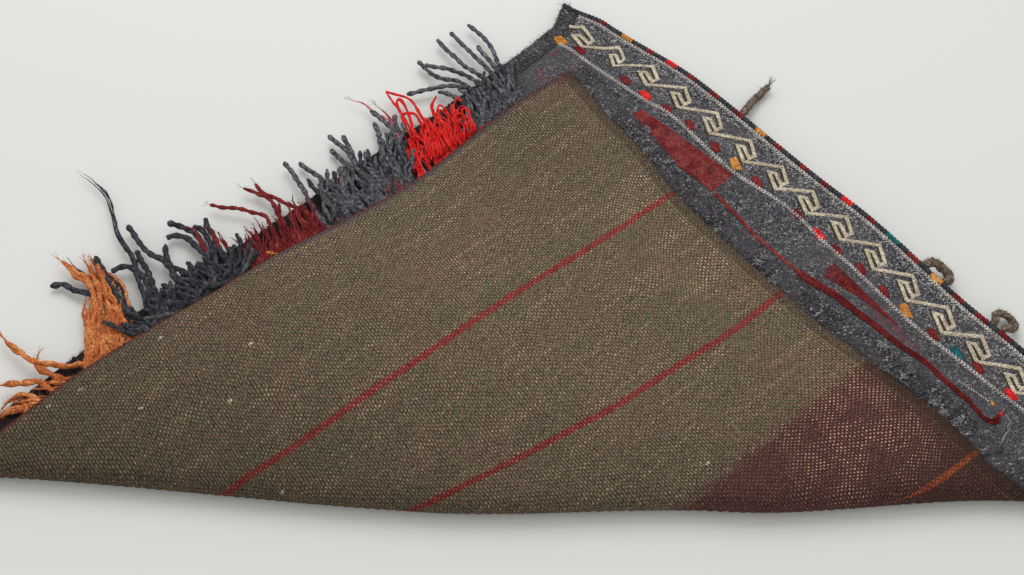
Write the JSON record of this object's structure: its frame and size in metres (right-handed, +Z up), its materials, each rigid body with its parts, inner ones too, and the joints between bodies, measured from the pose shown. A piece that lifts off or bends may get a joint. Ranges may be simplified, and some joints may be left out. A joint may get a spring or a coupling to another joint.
{
  "type": "folded flat-woven bag",
  "caption": "Wool storage bag with a scroll border at its mouth, lying folded over along its diagonal, with a tufted fringe.",
  "frame": {"origin": "on the floor under the folded bag, below the middle of the lower back cloth", "axes": "+X along the folded edge towards the open mouth's lower end, +Y from the fold across the bag, +Z up"},
  "size_m": [0.7411, 0.4218, 0.0202],
  "materials": {
    "back_wool": "matt olive-brown plain weave",
    "face_wool": "matt dark slate weave",
    "binding_wool": "matt fuzzy overcast stitching",
    "ivory_wool": "matt ribbed yarn",
    "madder_wool": "matt yarn",
    "rust_wool": "matt matted yarn",
    "navy_wool": "matt plied yarn",
    "scarlet_wool": "matt fine yarn",
    "goat_hair": "matt coarse braid"
  },
  "bodies": {
    "root": {"back_panel": "back_wool", "back_hem": "back_wool", "front_panel": "face_wool", "binding_left": "binding_wool", "binding_right": "binding_wool", "mouth_cord": "navy_wool", "bottom_cord": "madder_wool", "border_line_outer": "ivory_wool", "border_line_inner": "ivory_wool", "border_hooks": "ivory_wool", "red_line": "madder_wool", "red_block_1": "madder_wool", "red_block_2": "madder_wool", "tassel_rust": "rust_wool", "tassel_navy": "navy_wool", "tassel_dark_red": "madder_wool", "tassel_slate": "navy_wool", "tassel_scarlet": "scarlet_wool", "tassel_navy_corner": "navy_wool", "closing_loop_left": "goat_hair", "closing_loop_middle": "goat_hair", "closing_loop_right": "goat_hair"}
  },
  "joints": []
}
